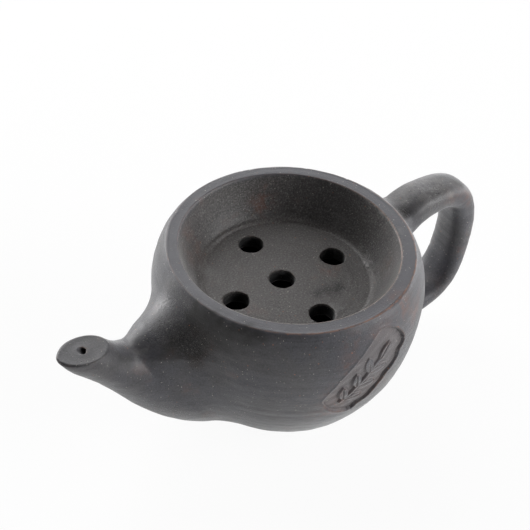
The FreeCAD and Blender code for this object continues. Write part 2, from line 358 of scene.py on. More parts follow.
marks = {
    "rings": (7, 4.2, 0.018),  # count, spacing and depth in mm
    "lumps": (12, 21.0, 0.065),
    "dabs": (12, 6.5, 0.016),
}
marksLevel = -0.12  # keeps the waves under the wall's own form
marksSeed = 5


def markWaves():
    dice = np.random.default_rng(marksSeed)
    waves = []
    for kind, (count, length, depth) in marks.items():
        for _ in range(count):
            way = dice.normal(size=3)
            if kind == "rings":
                way = np.array([0.03, 0.03, 1]) * way
            way = unit(way)
            reach = fullTurn / (length * dice.uniform(0.7, 1.5))
            waves.append((way * reach, dice.uniform(0, fullTurn), depth / math.sqrt(count / 2)))
    return waves


clayWaves = markWaves()


def clayMarks(p):
    height = np.full(len(p), marksLevel)
    for way, start, depth in clayWaves:
        height += depth * np.cos(p @ way + start)
    return height


def clayNormal(p, step=0.06):
    slopes = []
    for axis in np.eye(3) * step:
        ahead, behind = p + axis, p - axis
        slopes.append(clayGap(ahead) - clayMarks(ahead) - clayGap(behind) + clayMarks(behind))
    return unit(np.stack(slopes, 1))


def surfaceAlong(origin, way, start, steps=40):  # distance along each ray to the clay's surface
    shape = way.shape
    origin, way = np.broadcast_to(origin, shape).reshape(-1, 3), way.reshape(-1, 3)
    reach = np.array(np.broadcast_to(start, shape[:-1]), float).reshape(-1)
    active = np.arange(len(reach))
    for _ in range(steps):
        gap = clayGap(origin[active] + way[active] * reach[active, None])
        reach[active] -= gap
        active = active[np.abs(gap) > 2e-4]
    return reach.reshape(*shape[:-1], 1)


# Meshes

def makePiece(name, rows, loop, start, normals, weights):
    # a skin of rows; the given normals hold by their weights, from the row 'start' on
    count, columns = rows.shape[:2]
    i, j = np.meshgrid(np.arange(count if loop else count - 1), np.arange(columns), indexing="ij")
    here, below = i * columns, (i + 1) % count * columns
    right = (j + 1) % columns
    faces = np.stack([here + j, here + right, below + right, below + j], -1).reshape(-1, 4).tolist()
    points = rows.reshape(-1, 3)
    if not loop:  # both ends close on a point
        top, bottom = len(points), len(points) + 1
        points = np.vstack([points, rows[0].mean(0), rows[-1].mean(0)])
        last = (count - 1) * columns
        faces += [[(j + 1) % columns, j, top] for j in range(columns)]
        faces += [[last + j, last + (j + 1) % columns, bottom] for j in range(columns)]
    corners = np.array([f[:3] for f in faces])
    a, b, c = (points[corners[:, k]] for k in range(3))
    if np.einsum("ij,ij->", a, np.cross(b, c)) < 0:
        faces = [f[::-1] for f in faces]
    mesh = bpy.data.meshes.new(name)
    mesh.from_pydata((points * mm).tolist(), [], faces)
    mesh.update()
    mesh.shade_smooth()
    own = readAll(mesh.vertex_normals, "vector")
    skin = slice(start * columns, (start + len(normals)) * columns)
    share = weights.reshape(-1, 1)
    own[skin] = own[skin] * (1 - share) + normals.reshape(-1, 3) * share
    own /= np.linalg.norm(own, axis=1)[:, None] + 1e-12
    mesh.normals_split_custom_set_from_vertices(own.tolist())
    return placeObject(name, mesh)


def spacedOut(low, high, spacingAt):
    fine = np.linspace(low, high, 6000)
    steps = np.diff(fine) / spacingAt((fine[1:] + fine[:-1]) / 2)
    total = np.r_[0, np.cumsum(steps)]
    return np.interp(np.linspace(0, total[-1], int(math.ceil(total[-1])) + 1), total, fine)


# Panel pressed into the wall, with a leaf sprig

panel = {
    "turn": math.radians(-91.5),
    "height": 44.3,
    "wallRadius": 43.0,  # lengths round the wall are measured at this radius
    "lean": math.radians(50.6),
    "length": 34.0,
    "width": 18.6,
    "bow": 1.9,
    "notch": 0.4,
    "depth": 0.62,
    "slant": 0.16,  # the stamp went in deeper at its lower right side
    "flatness": 0.5,  # and its floor is flatter than the wall
    "wallWidth": 0.34,
    "lip": (0.45, 0.4, 0.12),  # place, reach and height of the clay pushed up beside the edge
    "relief": 0.7,
    "ribDepth": 0.4,
    "stalkWidth": 1.2,
    "stalkInset": 4.0,
    "leafPairs": 3,
    "leafLength": 7.2,
    "leafWidth": 3.2,
    "leafSpacing": 6.2,
    "leafLean": math.radians(48.0),
    "meshSpacing": 0.19,
    "fineColumns": (16.28, 27.03),  # off its middle: fine up to the first, coarse from the second
    "fineRows": (17.0, 22.0),
    "meshPull": (1.3, 0.72),  # how far the mesh is drawn towards the torn edge, and how much
    "tears": 24,
    "tearSpacing": (1.2, 3.8),
    "tearDepth": (-0.9, 0.75),
    "tearSeed": 4,
}


def panelOutline():
    end, side = panel["length"] / 2, panel["width"] / 2
    bow, step = panel["bow"], panel["notch"]
    corner = [
        (end - bow - x * step, side - bow - y * step) for x, y in ((0, 2), (1, 2), (1, 1), (2, 1), (2, 0))
    ]
    top = [(x * (end - bow - 2 * step), side - bow * x * x) for x in np.linspace(0.9, 0, 7)]
    right = [(end - bow * y * y, y * (side - bow - 2 * step)) for y in np.linspace(0, 0.9, 5)]
    quarter = right + corner + top
    half = quarter + [(-x, y) for x, y in reversed(quarter[:-1])]
    return np.array(half + [(-x, -y) for x, y in half[1:-1]])


def outlineGap(p, outline):
    away = np.full(len(p), 1e9)
    inside = np.zeros(len(p), bool)
    for start, stop in zip(outline, np.roll(outline, -1, 0)):
        leg, offset = stop - start, p - start
        share = np.clip(offset @ leg / (leg @ leg), 0, 1)
        away = np.minimum(away, np.hypot(*(offset - share[:, None] * leg).T))
        crosses = (start[1] > p[:, 1]) != (stop[1] > p[:, 1])
        with np.errstate(divide="ignore", invalid="ignore"):
            inside ^= crosses & (p[:, 0] < start[0] + (p[:, 1] - start[1]) / leg[1] * leg[0])
    return np.where(inside, -away, away)


def turnedBy(lean, x, y):
    c, s = math.cos(lean), math.sin(lean)
    return x * c + y * s, y * c - x * s


def leafGap(p, x, lean):
    half, wide = panel["leafLength"] / 2, panel["leafWidth"] / 2
    along, across = turnedBy(lean, p[:, 0] - x, p[:, 1])
    radius = (half * half + wide * wide) / (2 * wide)  # each side of the leaf is an arc
    sides = [np.hypot(along - half, across + way * (radius - wide)) for way in (1, -1)]
    return np.maximum(*sides) - radius, across


def tornLine():
    dice = np.random.default_rng(panel["tearSeed"])
    stops = np.cumsum(dice.uniform(*panel["tearSpacing"], panel["tears"])) - panel["length"] / 2 - 4
    return stops, dice.uniform(*panel["tearDepth"], panel["tears"])


tearStops, tearDepths = tornLine()


def panelGap(p):  # the outline, where the clay tore a little, most on the deep side
    torn = 0.18 + 0.82 * smoothStep(3, -7, p[:, 1])
    tear = np.interp(p[:, 0] - 0.25 * p[:, 1], tearStops, tearDepths)
    return outlineGap(p, panelOutline()) + torn * tear


def nearPanel(p, margin):
    return (np.abs(p) < np.array([panel["length"], panel["width"]]) / 2 + margin).all(1)


def drawnToPanel(arc, height):  # mesh points drawn to the panel's edge, so that it comes out clean
    p = np.stack(turnedBy(panel["lean"], arc, height), 1)
    reach, pull = panel["meshPull"]
    near = nearPanel(p, 3)
    q = p[near]
    gap = panelGap(q)
    slope = np.stack([panelGap(q + step) - gap for step in 0.04 * np.eye(2)], 1) / 0.04
    off = gap + panel["wallWidth"] / 2
    share = pull * np.clip(1 - (off / reach) ** 2, 0, 1) ** 2
    p[near] = q - slope * (off * share)[:, None]
    return turnedBy(-panel["lean"], p[:, 0], p[:, 1])


def panelRelief(arc, height):  # height of the clay over the wall, in mm
    p = np.stack(turnedBy(panel["lean"], arc, height), 1)
    relief = np.zeros(len(p))
    near = nearPanel(p, 4)
    p = p[near]
    gap = panelGap(p)
    across = p[:, 1] / (panel["width"] / 2)
    floor = panel["depth"] - panel["slant"] * across + panel["flatness"] * np.maximum(1 - across ** 2, 0)
    floor += 0.06 * np.sin(p[:, 0] * 0.9) + 0.04 * np.cos(p[:, 1] * 1.7 + p[:, 0] * 0.7)
    sprig = np.full(len(p), 9.0)
    rib = np.zeros(len(p))
    start = panel["stalkInset"] - panel["length"] / 2
    stalkLength = panel["leafPairs"] * panel["leafSpacing"]
    leaves = [(start + stalkLength, 0.0)]
    for number in range(panel["leafPairs"]):
        x = start + panel["stalkWidth"] + number * panel["leafSpacing"]
        leaves += [(x, panel["leafLean"]), (x, -panel["leafLean"])]
    for x, turn in leaves:
        leaf, offRib = leafGap(p, x, turn)
        rib = np.where(leaf < 0, bump(offRib, 0, 0.2) * smoothStep(0, 0.5, -leaf), rib)
        sprig = np.minimum(sprig, leaf)
    past = p[:, 0] - np.clip(p[:, 0], start, start + stalkLength)
    sprig = np.minimum(sprig, np.hypot(past, p[:, 1]) - panel["stalkWidth"] / 2)
    raised = panel["relief"] * smoothStep(0.16, -0.18, sprig) - panel["ribDepth"] * rib
    pressed = np.maximum(floor - raised, 0.2) * smoothStep(0.04, -panel["wallWidth"], gap)
    lipPlace, lipReach, lipHeight = panel["lip"]
    relief[near] = lipHeight * bump(gap, lipPlace, lipReach) - pressed
    return relief


# Vessel

def coatedWall(angles, heights, past):  # the wall with its marks; it dips where it goes past the flange
    radius, outward, upward = wallAt(heights)
    c, s = np.cos(angles), np.sin(angles)
    place = np.stack([radius * c, radius * s, heights], -1)
    way = np.stack([outward * c, outward * s, upward], -1)
    shape = place.shape
    place, way = place.reshape(-1, 3), way.reshape(-1, 3)
    rise = np.zeros(len(place))
    near = np.flatnonzero(clayGap(place) < -1e-4)
    rise[near] = surfaceAlong(place[near], way[near], 0, 16)[:, 0]
    rise = np.clip(rise, 0, 4)
    normal = np.zeros_like(place)
    normal[near] = clayNormal(place[near] + way[near] * np.minimum(rise[near], jointHeight)[:, None])
    blended = smoothStep(0.0, 0.02, rise)
    over = rise > jointHeight
    rise[over] = np.maximum(jointHeight - jointDive * (rise[over] - jointHeight), jointHeight - 0.2)
    place = place + way * rise[:, None]
    place += way * (clayMarks(place) - vessel["flangeDive"] * np.maximum(past, 0).reshape(-1))[:, None]
    return place.reshape(shape), way.reshape(shape), normal.reshape(shape), blended.reshape(shape[:2])


def turnedRows(line, angles, centre=(0, 0)):
    line = np.array(line, float)
    return np.stack([
        centre[0] + line[:, 0, None] * np.cos(angles),
        centre[1] + line[:, 0, None] * np.sin(angles),
        np.repeat(line[:, 1, None], len(angles), 1),
    ], -1)


def makeVessel():
    turn, height, wallRadius = panel["turn"], panel["height"], panel["wallRadius"]
    fine = panel["meshSpacing"]

    def columnSpacing(angle):
        share = smoothStep(*panel["fineColumns"], np.abs(turnOff(angle, turn)) * wallRadius)
        return (fine + (vessel["columnSpacing"] - fine) * share) / wallRadius

    def rowSpacing(rowHeight):
        share = smoothStep(*panel["fineRows"], np.abs(rowHeight - height))
        return fine + (vessel["rowSpacing"] - fine) * share

    angles = spacedOut(-math.pi, math.pi, columnSpacing)[:-1]
    heights = spacedOut(*vessel["skinHeights"], rowSpacing)[::-1]
    arc, rise = np.meshgrid(turnOff(angles, turn) * wallRadius, heights - height)
    shape = arc.shape
    arc, rise = drawnToPanel(arc.reshape(-1), rise.reshape(-1))
    relief = panelRelief(arc, rise).reshape(shape)
    arc, rise = arc.reshape(shape), height + rise.reshape(shape)
    skin, way, normals, weights = coatedWall(turn + arc / wallRadius, rise, rise - vessel["flangeHeight"])
    skin += way * relief[..., None]
    skin[..., 1] = np.maximum(skin[..., 1], vessel["frontReach"])

    collar, base, wall = vessel["collarRadius"], vessel["base"], vessel["wall"]
    hole = [(collar, 0.05), (collar, base / 2), (collar, base), (vessel["baseRadius"], base)]
    inside = np.linspace(*vessel["chamber"])
    radius, outward, upward = wallAt(inside)
    chamber = np.c_[radius - wall * outward, inside - wall * upward]
    chamber = chamber[chamber[:, 1] > base + 0.5]
    plain = turnedRows([*vessel["foot"], *hole, *chamber, *vessel["innerTop"]], angles)
    piece = makePiece("vesselWall", np.concatenate([skin, plain]), True, 0, normals, weights)
    keepMask(piece.data, "pressed", np.concatenate([-relief, np.zeros(plain.shape[:2])]))
    return piece


vesselWall = makeVessel()
print("vessel made:", len(vesselWall.data.polygons), "faces")


# Spout and handle

def fanRows(fan, ring):
    # rays from a point inside the wall, from the first free ring to where the blend has died out
    (x, z), count, widest = fan
    centre = np.array([x, 0, z])
    nearest = np.linalg.norm(ring - centre, axis=1).min()
    away = unit(ring.mean(0) - centre)
    way = unit(ring - centre)
    side = unit(way - (way @ away)[:, None] * away)
    first = np.arccos(np.clip(way @ away, -1, 1))

    def hits(angles):
        ways = np.cos(angles)[..., None] * away + np.sin(angles)[..., None] * side
        return centre + ways * surfaceAlong(centre, ways, nearest / 2, 60)

    tries = np.linspace(0, 1, 40)
    swing = math.radians(widest) - first
    gaps = np.minimum.accumulate(vesselGap(hits(first + swing * tries[:, None])), 0)
    last = np.array([np.interp(-jointStop, -gaps[:, j], tries) for j in range(len(ring))])
    return hits(first + swing * last * np.linspace(0, 1, count + 1)[1:, None]), centre


def finishLimb(rows, skinReach):  # the rows with their marks, their normals and where those hold
    place = rows.reshape(-1, 3)
    under = jointDive * np.maximum(jointHeight - vesselGap(place), 0)
    normal = clayNormal(place)
    place = place + normal * (clayMarks(place) - under)[:, None]
    skin = place.reshape(rows.shape)
    return skin, normal.reshape(rows.shape), smoothStep(*skinReach, vesselGap(skin))


def wayAround(angles, up):
    return np.cos(angles)[..., None] * np.array([0, 1.0, 0]) + np.sin(angles)[..., None] * up


def ringRows(line, shares, angles, reachOf):  # rings square to the line; a column may have its own shares
    shares, angles = np.broadcast_arrays(shares, angles)
    place, _, up = line.frameAt(shares)
    way = wayAround(angles, up)
    return place + way * surfaceAlong(place, way, 0.7 * reachOf(shares, angles))


def makeSpout():
    angles = np.linspace(0, fullTurn, spout["columns"], endpoint=False)
    tilt = math.radians(spout["cutTilt"])
    cutPoint = np.array([spout["cutPoint"][0], 0, spout["cutPoint"][1]])
    cutUp = np.array([math.sin(tilt), 0, math.cos(tilt)])

    # the slice's edge, found by rays that lie in the slice
    place, along, up = spoutLine.frameAt(np.array([spout["cutShare"]]))
    middle = place + along * ((cutPoint - place) @ cutUp / (along @ cutUp))[:, None]
    way = wayAround(angles, up)
    way = unit(way - along * (way @ cutUp / (along @ cutUp))[:, None])
    edge = middle + way * surfaceAlong(middle, way, 3.0)

    low, high = spout["firstRing"]
    count, easing = spout["rings"]
    first = low + (high - low) * (1 - np.sin(angles)) / 2
    last = spoutLine.nearest(edge)
    shares = first + (last - first) * np.linspace(0, 1, count)[:-1, None] ** easing
    outer = ringRows(spoutLine, shares, angles, spoutRadius)
    fan, centre = fanRows(spout["fan"], outer[0])
    side, normals, weights = finishLimb(np.concatenate([fan[::-1], outer]), spout["skinReach"])

    vent = np.array([spout["ventPlace"], 0, 0])
    vent[2] = cutPoint[2] - (vent[0] - cutPoint[0]) * math.tan(tilt)
    toVent = unit(vent - edge)
    alongSide = unit(outer[-1] - edge)
    wear = 1 + 0.10 * np.sin(angles * 3 + 1) + 0.05 * np.sin(angles * 7 + 4)
    halfAngle = np.arccos(np.clip((alongSide * toVent).sum(1), -1, 1)) / 2
    rounding = (spout["edgeRounding"] * wear / np.tan(halfAngle))[:, None]
    start, stop = edge + alongSide * rounding, edge + toVent * rounding
    # drop the rows that lie past the start of the rounding
    keep = np.linalg.norm(side - edge, axis=2).min(1) > rounding.max() * 1.1
    side, normals, weights = side[keep], normals[keep], weights[keep]
    corner = []
    for t in np.linspace(0, 1, 9):
        pull = 2 * t * (1 - t) * np.sin(halfAngle)[:, None]
        total = (1 - t) ** 2 + pull + t * t
        corner.append(((1 - t) ** 2 * start + pull * edge + t * t * stop) / total)
    around = unit((toVent @ cutUp)[:, None] * cutUp - toVent)
    # the vent was pierced with a stick and is a little out of round
    facets = 1 + 0.07 * np.cos(angles * 2 + 0.6) + 0.04 * np.cos(angles * 5 + 2)
    ventEdge = around * (spout["ventRadius"] * facets)[:, None]
    mouth = vent + ventEdge + around * 0.25
    face = [
        stop * (1 - share) + mouth * share - cutUp * spout["cutDish"] * math.sin(math.pi * share)
        for share in np.linspace(0, 1, 14)[1:]
    ]
    inward = np.array(spout["ventWay"])
    bore = [vent + ventEdge * grow + inward * deep for grow, deep in spout["ventSteps"]]
    under = side[0] + (centre - side[0]) * 0.15
    rows = np.concatenate([[under], side, corner, face, bore])
    return makePiece("pouringSpout", rows, False, 1, normals, weights)


def makeHandle():
    fine = np.linspace(*handle["rings"], 4000)
    travelled = np.r_[0, np.cumsum(np.linalg.norm(np.diff(handleLine.at(fine)[0], axis=0), axis=1))]
    count = int(travelled[-1] / handle["ringSpacing"])
    shares = np.interp(np.linspace(0, travelled[-1], count), travelled, fine)
    angles = np.linspace(0, fullTurn, handle["columns"], endpoint=False)
    middle = ringRows(
        handleLine, shares[:, None], angles, lambda u, turn: strapReach(u, np.cos(turn), np.sin(turn))
    )
    upper, upperCentre = fanRows(handle["upperFan"], middle[0])
    lower, lowerCentre = fanRows(handle["lowerFan"], middle[-1])
    skin, normals, weights = finishLimb(np.concatenate([upper[::-1], middle, lower]), handle["skinReach"])
    first = skin[0] + (upperCentre - skin[0]) * 0.2
    last = skin[-1] + (lowerCentre - skin[-1]) * 0.2
    return makePiece("strapHandle", np.concatenate([[first], skin, [last]]), False, 1, normals, weights)


pouringSpout = makeSpout()
print("spout made:", len(pouringSpout.data.polygons), "faces")
strapHandle = makeHandle()
print("handle made:", len(strapHandle.data.polygons), "faces")

# Dish with its rim

dish = {
    "mouthRadius": 34.8,
    "mouthShift": (-0.2, 0.5),
    "depth": 14.5,
    "floorRadius": 26.4,
    "cove": 2.2,
    "bead": (27.6, 0.8, 0.42),  # radius, reach and height of a soft ring of clay round the floor
    "slopeDrop": 8.5,
    "slopeInset": 2.3,
    "wall": 3.2,
    "floor": 4.5,
    "fingerRings": ((0.02, 1.3, 0.9), (0.01, 2.9, -1.3)),  # depth, times each mm, drift round the dish
    "skirt": (61.8, 63.35),  # heights of the flange's outer face
    "edgeWear": 0.45,
    "chips": 16,
    "chipSize": (0.3, 0.9),
    "chipDepth": (0.15, 0.5),
    "chipSeed": 11,
    "columns": 400,
}


def wornEdge(angles):  # the rim's outer edge is worn round, with a few small chips
    dice = np.random.default_rng(dish["chipSeed"])
    waves = ((0.3, 5, 2), (0.22, 13, 0), (0.15, 29, 1))  # share, count round the rim, start
    wear = 1 + sum(share * np.sin(angles * count + start) for share, count, start in waves)
    wear *= dish["edgeWear"]
    for _ in range(dish["chips"]):
        place = dice.uniform(0, fullTurn)
        size = dice.uniform(*dish["chipSize"])
        depth = dice.uniform(*dish["chipDepth"])
        wear += depth * bump(turnOff(angles, place) * wallRadii[-1], 0, size)
    return wear[:, None]


def makeDish():
    angles = np.linspace(0, fullTurn, dish["columns"], endpoint=False)
    rim, mouth, floorRadius = vessel["rimHeight"], dish["mouthRadius"], dish["floorRadius"]
    shift = np.array(dish["mouthShift"])
    around = np.stack([np.cos(angles), np.sin(angles)], 1)

    turns, heights = np.meshgrid(angles, np.linspace(*dish["skirt"], 7))
    skirt, _, normals, weights = coatedWall(turns, heights, vessel["flangeHeight"] - heights)

    wear = wornEdge(angles)
    outerEdge = np.c_[wallRadii[-1] * around, np.full(len(angles), rim)]
    low = outerEdge + unit(skirt[-1] - outerEdge) * wear * 0.9
    high = outerEdge - np.c_[around, 0 * angles] * wear
    corner = np.array([bezier((low, outerEdge, high), t) for t in np.linspace(0, 1, 6)])
    innerEdge = np.c_[shift + (mouth + 0.5) * around, np.full(len(angles), rim - 0.05)]
    ring = np.array([corner[-1] * (1 - t) + innerEdge * t for t in np.linspace(0, 1, 12)[1:]])
    radius = np.hypot(ring[..., 0], ring[..., 1])
    ring[..., 2] -= 0.05 + 0.03 * np.sin(angles * 3 + 0.5)
    ring[..., 2] -= 0.012 * np.sin(radius * 2.2) * np.sin(angles * 2 + 1)

    floorHeight, slopeTop = rim - dish["depth"], rim - dish["slopeDrop"]
    slopeRadius, wall = mouth - dish["slopeInset"], dish["wall"]
    cavity = bezierLine((
        (mouth, rim), (slopeRadius, slopeTop),
        (floorRadius + dish["cove"], floorHeight), (floorRadius, floorHeight),
    ), 40)
    cavity = cavity[cavity[:, 1] < rim - 0.5]
    lip = [(mouth + 0.28, rim - 0.1), (mouth + 0.06, rim - 0.28)]
    inside = turnedRows([*lip, *cavity], angles, shift)
    floor = turnedRows([(r, floorHeight) for r in np.linspace(floorRadius, 0.6, 36)[1:]], angles, shift)
    # finger rings in the dish, soft and uneven, and the bead, highest at the back left
    beadRadius, beadReach, beadHeight = dish["bead"]
    for rows in (inside[2:], floor):
        radius = np.hypot(rows[..., 0] - shift[0], rows[..., 1] - shift[1])
        turn = np.arctan2(rows[..., 1], rows[..., 0])
        backLeft = smoothStep(-0.6, 0.9, np.cos(turn - 2.1))
        rows[..., 2] += beadHeight * backLeft * bump(radius, beadRadius, beadReach) - 0.02
        for depth, often, drift in dish["fingerRings"]:
            rows[..., 2] += depth * np.sin(radius * often + drift * np.sin(turn + 0.8))
    underHeight = floorHeight - dish["floor"]
    under = [(r, underHeight) for r in np.linspace(0.6, floorRadius, 20)]
    outside = bezierLine((
        (floorRadius, underHeight), (floorRadius + 6.0, underHeight),
        (slopeRadius + wall, slopeTop - wall / 4), (mouth + wall, rim - wall / 2),
    ), 26)[1:]
    below = turnedRows([*under, *outside], angles, shift)
    top = np.concatenate([floor[::-1], inside[::-1], ring[::-1], corner[::-1]])
    rows = np.concatenate([top, skirt[::-1], below[::-1]])
    return makePiece("piercedDish", rows, False, len(top), normals[::-1], weights[::-1])


piercedDish = makeDish()
print("dish made:", len(piercedDish.data.polygons), "faces")

# Draught holes, pierced through the dish's floor by Geometry Nodes

holes = {
    "Hole Radius": 4.15,
    "Ring Radius": 19.1,
    "Ring Count": 4,
    "Ring Centre": (-0.6, 0.5, 0.0),
    "Centre Hole": (-1.8, 0.8, 0.0),
    "Floor Height": 49.5,
    "Depth": 14.0,
    "Lip Depth": 0.55,
    "Lip Height": 1.4,
    "Lip Wear": 0.22,
    "Unevenness": 0.26,
}


def holeTree():
    tree = bpy.data.node_groups.new("draught holes", "GeometryNodeTree")
    add = partial(addNode, tree)
    kinds = {tuple: "Vector", int: "Int", float: "Float"}
    sockets = [("Geometry", "Geometry"), *((name, kinds[type(value)]) for name, value in holes.items())]
    for name, kind in (*sockets, ("Material", "Material")):
        tree.interface.new_socket(name, in_out="INPUT", socket_type="NodeSocket" + kind)
    tree.interface.new_socket("Geometry", in_out="OUTPUT", socket_type="NodeSocketGeometry")
    given = add("NodeGroupInput").outputs

    ring = add("GeometryNodeMeshCircle", {"Vertices": given["Ring Count"], "Radius": given["Ring Radius"]})
    placedRing = add("GeometryNodeTransform", {"Geometry": ring, "Translation": given["Ring Centre"]})
    middle = add("GeometryNodeMeshLine", {"Count": 1, "Start Location": given["Centre Hole"]})
    places = add("GeometryNodeJoinGeometry", [placedRing])
    tree.links.new(middle.outputs[0], places.inputs[0])

    drill = add("GeometryNodeMeshCylinder", {
        "Vertices": 84, "Side Segments": 56, "Fill Segments": 1,
        "Radius": given["Hole Radius"], "Depth": given["Depth"],
    })
    # worn lip: the drill widens just under and over the floor
    spot = add("GeometryNodeInputPosition")
    grow = add("SeparateXYZ", [spot]).outputs["Z"]
    for operation, value in (
        ("ADD", given["Lip Depth"]), ("MAXIMUM", 0.0), ("MINIMUM", given["Lip Height"]), ("POWER", 2.0),
        ("MULTIPLY", given["Lip Wear"]), ("DIVIDE", given["Hole Radius"]), ("ADD", 1.0),
    ):
        grow = add("Math", (grow, value), operation)
    wide = add("CombineXYZ", (grow, grow, 1.0))
    flared = add("VectorMath", (spot, wide), "MULTIPLY")
    shaped = add("GeometryNodeSetPosition", {"Geometry": drill, "Position": flared})

    level = add("CombineXYZ", {2: given["Floor Height"]})
    atFloor = add("GeometryNodeTransform", {"Geometry": places, "Translation": level})
    drills = add("GeometryNodeInstanceOnPoints", {"Points": atFloor, "Instance": shaped})
    solid = add("GeometryNodeRealizeInstances", [drills])
    # each hole wanders a little from round, as hand-pierced ones do
    wander = add("GeometryNodeInputPosition")
    noise = add("TexNoise", {"Vector": wander, "Scale": 0.2, "Detail": 1.0}).outputs["Color"]
    centred = add("VectorMath", (noise, (0.5, 0.5, 0.5)), "SUBTRACT")
    sideways = add("VectorMath", (centred, (1.0, 1.0, 0.0)), "MULTIPLY")
    amount = add("Math", (given["Unevenness"], 4.0), "MULTIPLY")
    shaken = add("VectorMath", {0: sideways, "Scale": amount}, "SCALE")
    uneven = add("GeometryNodeSetPosition", {"Geometry": solid, "Offset": shaken})
    toMetres = add("GeometryNodeTransform", {"Geometry": uneven, "Scale": (mm, mm, mm)})

    cut = add("GeometryNodeMeshBoolean", {
        "Mesh 1": given["Geometry"], "Mesh 2": toMetres,
    }, "DIFFERENCE", solver="MANIFOLD")
    smooth = add("GeometryNodeSetShadeSmooth", [cut])
    made = add("GeometryNodeRealizeInstances", [smooth])
    coated = add("GeometryNodeSetMaterial", {"Geometry": made, "Material": given["Material"]})
    add("NodeGroupOutput", [coated])
    return tree


def pierce(piece, material):
    modifier = piece.modifiers.new("draught holes", "NODES")
    modifier.node_group = holeTree()
    values = {**holes, "Material": material}
    for item in modifier.node_group.interface.items_tree:
        if item.in_out == "INPUT" and item.name in values:
            modifier[item.identifier] = values[item.name]
    bpy.context.view_layer.update()
    evaluated = piece.evaluated_get(bpy.context.evaluated_depsgraph_get())
    mesh = bpy.data.meshes.new_from_object(evaluated)
    piece.modifiers.clear()
    piece.data = mesh
    mesh.name = piece.name


# Masks for the clay's colour, kept on the meshes as attributes: places in mm with a reach and a strength

spots = {
    "ironTint": (  # where the red clay shows through the smoke
        (11.2, 30.4, 55.5, 8, 0.8), (8.7, 30, 51.7, 6, 0.6), (-22, 24, 56, 12, 0.6),
        (26.5, -17.5, 56, 9, 0.5), (14, -5, 49.5, 5.5, 0.8), (-18.6, -5.3, 49.5, 3, 0.8),
        (-13, 4, 49.5, 5, 0.3), (12.8, -37.2, 61.5, 8, 0.9), (20, -36.5, 57, 9, 0.8), (2, -41, 60, 7, 0.6),
        (-8.1, -39.5, 60, 7, 0.5), (-9, -42.5, 52, 7, 0.6), (-14, -40, 42, 8, 0.5),
        (-14.5, -38.5, 31, 7, 0.6), (-42, -10.5, 56.5, 4, 1), (-41, -14.5, 54, 4, 1),
        (-48.5, -9.3, 50.3, 4, 0.5), (-44.2, -14.2, 50, 5, 0.6), (71.5, -6.5, 56.5, 5, 0.8),
        (62.5, -7, 61, 6, 0.6), (66, -7, 18, 10, 0.3), (-3, -41, 24, 8, 0.3), (-9, -41, 35, 9, 0.9),
        (4, -42, 36, 7, 0.7), (-20, 38, 40, 14, 0.4), (25, 34, 30, 12, 0.35),
    ),
    "soot": (  # soot marks, and painted shade in the crease between spout and wall, on the spout's neck, under the rim's front-left edge and where the handle meets the rim
        (-47, -8.6, 53.2, 7, 1), (-43.5, -12, 54, 6.5, 1), (-50.5, -8, 51.5, 5, 0.3),
        (-44.2, -13.2, 50, 6, 0.7), (-54.5, -8, 50, 4.5, 0.3), (-65, -5.2, 54, 4.5, 0.8),
        (-62, -6, 52, 4, 0.5), (-38.5, -10.8, 61.6, 4.4, 1), (-37.1, -15, 61.6, 4.4, 1),
        (-34.9, -19.5, 61.6, 4.4, 1), (-40, -5.5, 61.4, 3.6, 0.8), (-30, -26, 61.8, 4.2, 0.8),
        (-45.5, -11, 55.5, 8, 0.9), (-41.5, -12.5, 58, 8.5, 1), (-38, -17, 56.5, 7, 0.8),
        (-33, -22.5, 60.5, 5.5, 0.9), (-41, -8, 60, 5, 0.9), (7.5, -12, 49.5, 4.2, 1),
        (3.9, -11.4, 49.5, 3.6, 0.9), (11, -12.6, 49.5, 4.2, 1), (67.8, -2.5, 60.6, 4.4, 1),
        (65, 1.5, 62, 3.6, 0.7), (41.4, -5.1, 60.5, 4.5, 1), (40, -7.5, 61, 4, 0.9),
        (40.5, -1.5, 62, 4, 0.9), (40, 3.5, 62, 4, 0.7), (27.5, -16, 55, 3, 0.5),
    ),
    "rubbed": (  # paler places: rubbed clay and scuffs in the dish, and painted sheen highlights on the spout's top, the shoulder beside it and the handle's top
        (5.7, -19, 49.5, 3, 1), (3.2, -20.1, 49.5, 2.6, 0.9), (28, -3.2, 50, 3.4, 0.8),
        (27, -8.6, 50.5, 3.6, 0.9), (25, -19, 55.5, 4, 0.6), (27, 12, 55, 8, 0.3), (22, 19, 55.5, 9, 0.4),
        (-20, 16, 50, 5, 0.6), (-58.6, -4.1, 51, 5, 1), (-56.5, -3, 52.4, 4, 0.9),
        (-43.7, 6, 57.2, 6.5, 0.7), (-40.4, 7.7, 60.7, 5.5, 0.8), (56.4, -3.9, 63.5, 8, 0.8),
        (49, 0.5, 62.8, 10, 0.8), (60.5, 0.5, 62.6, 8, 0.6), (55, 4, 63, 8, 0.7),
        (61.5, -6.1, 61.6, 3, 0.6), (33.8, -2, 62.5, 3, 0.6), (32.4, -11.7, 62.5, 3, 0.6),
        (-70, -4, 55.5, 1.6, 0.8),
    ),
    "pitted": (  # rough, pitted clay
        (-42.5, 1.5, 60, 7, 1), (-46, -3, 56.5, 6, 1), (-51, -3, 54.5, 5, 0.8), (-45, -12, 52, 7, 0.7),
        (-49, -3, 54, 6, 0.9), (-44, -8, 55, 6, 0.8), (41.4, -5.1, 60.5, 5, 0.6),
        (56.4, -3.9, 63.5, 7, 0.5), (27, -8.6, 50.5, 7, 0.6), (17.5, -39.5, 45, 12, 0.5),
        (-54.5, -10, 28, 9, 0.6),
    ),
}


def spotMask(places, name):
    clear = np.ones(len(places))
    wander = 0.9 * np.sin(places[:, (1, 2, 0)] * 0.7 + 1) + 0.5 * np.sin(places[:, (2, 0, 1)] * 1.9 + 2)
    for *centre, reach, strength in spots[name]:
        away = np.linalg.norm(places + wander - np.array(centre), axis=1)
        clear *= 1 - strength * bump(away, 0, 0.62 * reach)
    return 1 - clear


